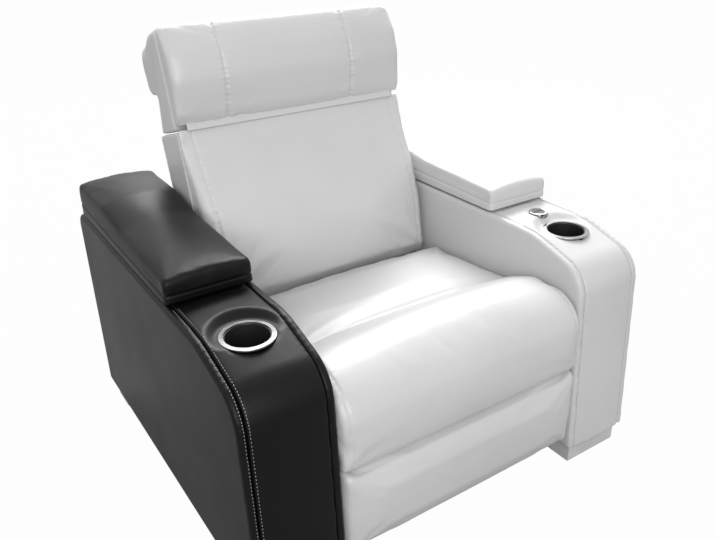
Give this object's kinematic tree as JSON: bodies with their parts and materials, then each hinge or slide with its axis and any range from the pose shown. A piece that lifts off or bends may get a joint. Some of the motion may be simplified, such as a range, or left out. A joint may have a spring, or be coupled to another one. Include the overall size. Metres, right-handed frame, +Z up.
{
  "type": "cinema recliner seat",
  "caption": "Powered cinema recliner seat with wide padded arms, cup holders, lidded storage bins, a folding footrest and a tilting headrest.",
  "frame": {"origin": "on the floor, under the middle of the overall width and depth at rest", "axes": "+Z up, the seat faces -Y, +X is the sitter's left"},
  "size_m": [1.05, 0.985, 1.0418],
  "materials": {
    "grey leather": "satin, lightly grained",
    "black leather": "satin, lightly grained",
    "plywood": "raw",
    "black lining": "woven",
    "moulded black": "matt",
    "chrome": "polished",
    "grey plinth": "matt",
    "bright steel": "zinc plated",
    "painted steel": "satin black",
    "webbing": "woven",
    "white nylon": "matt"
  },
  "bodies": {
    "base": {"left_arm_outer_panel": "grey leather", "left_arm_inner_panel": "grey leather", "left_arm_former": "plywood", "left_arm_front_pad": "grey leather", "left_arm_rear_panel": "grey leather", "left_storage_bin": "moulded black", "left_cup_holder": "moulded black", "right_arm_outer_panel": "black leather", "right_arm_inner_panel": "black leather", "right_arm_former": "plywood", "right_arm_front_pad": "black leather", "right_arm_rear_panel": "black leather", "right_storage_bin": "moulded black", "right_cup_holder": "moulded black", "arm_base_boards": "plywood", "cup_rings": "chrome", "feet": "grey plinth", "control_bezel": "chrome", "lid_hinge_fixed_leaves": "bright steel", "lid_hinge_pins": "bright steel", "base_rails": "painted steel", "cross_tubes": "painted steel", "power_supply": "moulded black", "frame_bolts": "bright steel"},
    "seat": {"side_plates": "painted steel", "seat_cross_rails": "plywood", "seat_webbing": "webbing", "glide_shoes": "white nylon", "seat_pivot_pins": "bright steel", "seat_cushion": "grey leather", "seat_bolster": "grey leather", "linear_drive": "painted steel"},
    "back": {"back_posts": "plywood", "back_rails": "plywood", "back_shell": "grey leather", "back_cushion": "grey leather", "headrest_hinge_arms": "painted steel"},
    "headrest": {"headrest_front_pad": "grey leather", "headrest_board": "grey leather", "headrest_rear_pad": "grey leather", "headrest_hinge_leaves": "bright steel"},
    "left_lid": {"left_lid_board": "black lining", "left_lid_pad": "grey leather", "left_lid_hinge_leaf": "bright steel"},
    "right_lid": {"right_lid_board": "black lining", "right_lid_pad": "black leather", "right_lid_hinge_leaf": "bright steel"},
    "recline_button": {"recline_button": "moulded black"},
    "upright_button": {"upright_button": "moulded black"},
    "drive_links": {"drive_links": "painted steel", "torque_tube": "painted steel"},
    "carrier_links": {"carrier_links": "painted steel"},
    "elbow": {"elbow_plates": "painted steel", "elbow_pins": "bright steel"},
    "lift_links": {"lift_links": "painted steel"},
    "footrest": {"footrest_brackets": "painted steel", "footrest_board": "black lining", "footrest_pad": "grey leather"},
    "drive_block": {"drive_block": "moulded black"}
  },
  "joints": [
    {"name": "seat_glide", "type": "slide", "parent": "base", "child": "seat", "axis": [0, -1, 0], "range_m": [0, 0.07]},
    {"name": "back_recline", "type": "hinge", "parent": "seat", "child": "back", "pos_m": [0, 0.1335, 0.297], "axis": [-1, 0, 0], "range_deg": [0, 38]},
    {"name": "headrest_tilt", "type": "hinge", "parent": "back", "child": "headrest", "pos_m": [0, 0.25542, 0.83379], "axis": [1, 0, 0], "range_deg": [0, 40]},
    {"name": "left_lid_hinge", "type": "hinge", "parent": "base", "child": "left_lid", "pos_m": [0.426, 0.4548, 0.5795], "axis": [-1, 0, 0], "range_deg": [0, 85]},
    {"name": "right_lid_hinge", "type": "hinge", "parent": "base", "child": "right_lid", "pos_m": [-0.426, 0.4548, 0.5795], "axis": [-1, 0, 0], "range_deg": [0, 85]},
    {"name": "recline_press", "type": "slide", "parent": "base", "child": "recline_button", "axis": [0, 0, -1], "range_m": [0, 0.0015], "stiffness_N_per_m": 800, "springref_m": -0.0008},
    {"name": "upright_press", "type": "slide", "parent": "base", "child": "upright_button", "axis": [0, 0, -1], "range_m": [0, 0.0015], "stiffness_N_per_m": 800, "springref_m": -0.0008},
    {"name": "footrest_drive", "type": "hinge", "parent": "seat", "child": "drive_links", "pos_m": [0, -0.352, 0.236], "axis": [-1, 0, 0], "range_deg": [0, 112]},
    {"name": "carrier_pivot", "type": "hinge", "parent": "seat", "child": "carrier_links", "pos_m": [0, -0.38877, 0.26685], "axis": [-1, 0, 0], "range_deg": [0, 112]},
    {"name": "elbow_pivot", "type": "hinge", "parent": "drive_links", "child": "elbow", "pos_m": [0, -0.3049, 0.0602], "axis": [-1, 0, 0], "range_deg": [-112, 0]},
    {"name": "lift_pivot", "type": "hinge", "parent": "elbow", "child": "lift_links", "pos_m": [0, -0.3389, 0.0602], "axis": [-1, 0, 0], "range_deg": [-25.2, 0]},
    {"name": "footrest_pivot", "type": "hinge", "parent": "lift_links", "child": "footrest", "pos_m": [0, -0.4035, 0.181], "axis": [-1, 0, 0], "range_deg": [0, 115.2]},
    {"name": "drive_block_slide", "type": "slide", "parent": "seat", "child": "drive_block", "axis": [0, -1, 0], "range_m": [0, 0.0912]}
  ],
  "couplings": [
    {"joint": "seat_glide", "follows": "back_recline", "m_per_rad": 0.10539},
    {"joint": "carrier_pivot", "follows": "footrest_drive", "ratio": 1},
    {"joint": "elbow_pivot", "follows": "footrest_drive", "ratio": -1},
    {"joint": "lift_pivot", "follows": "footrest_drive", "ratio": -0.22488},
    {"joint": "footrest_pivot", "follows": "footrest_drive", "ratio": 1.0285},
    {"joint": "drive_block_slide", "follows": "footrest_drive", "m_per_rad": 0.046553}
  ]
}
